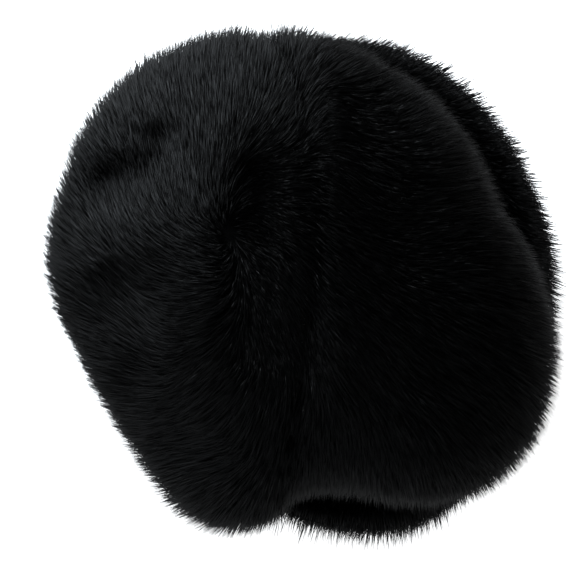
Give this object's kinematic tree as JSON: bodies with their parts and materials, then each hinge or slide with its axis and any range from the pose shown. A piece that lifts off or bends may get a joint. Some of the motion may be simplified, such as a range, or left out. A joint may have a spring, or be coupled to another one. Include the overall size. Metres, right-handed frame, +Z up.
{
  "type": "fur hat",
  "caption": "Black fur toque with a puffed crown of two panels sewn along a seam and a turned-up fur cuff round its foot.",
  "frame": {"origin": "middle of the hat's bounding box, on the surface that the cuff stands on", "axes": "+Z up towards the top of the crown, +Y along the crown's seam towards the back, +X across the hat to the right"},
  "size_m": [0.2528, 0.2538, 0.1173],
  "materials": {
    "fur": "long glossy black fur pile on a suede-backed pelt"
  },
  "bodies": {
    "root": {"crown_left": "fur", "crown_right": "fur", "cuff_left": "fur", "cuff_right": "fur"}
  },
  "joints": []
}
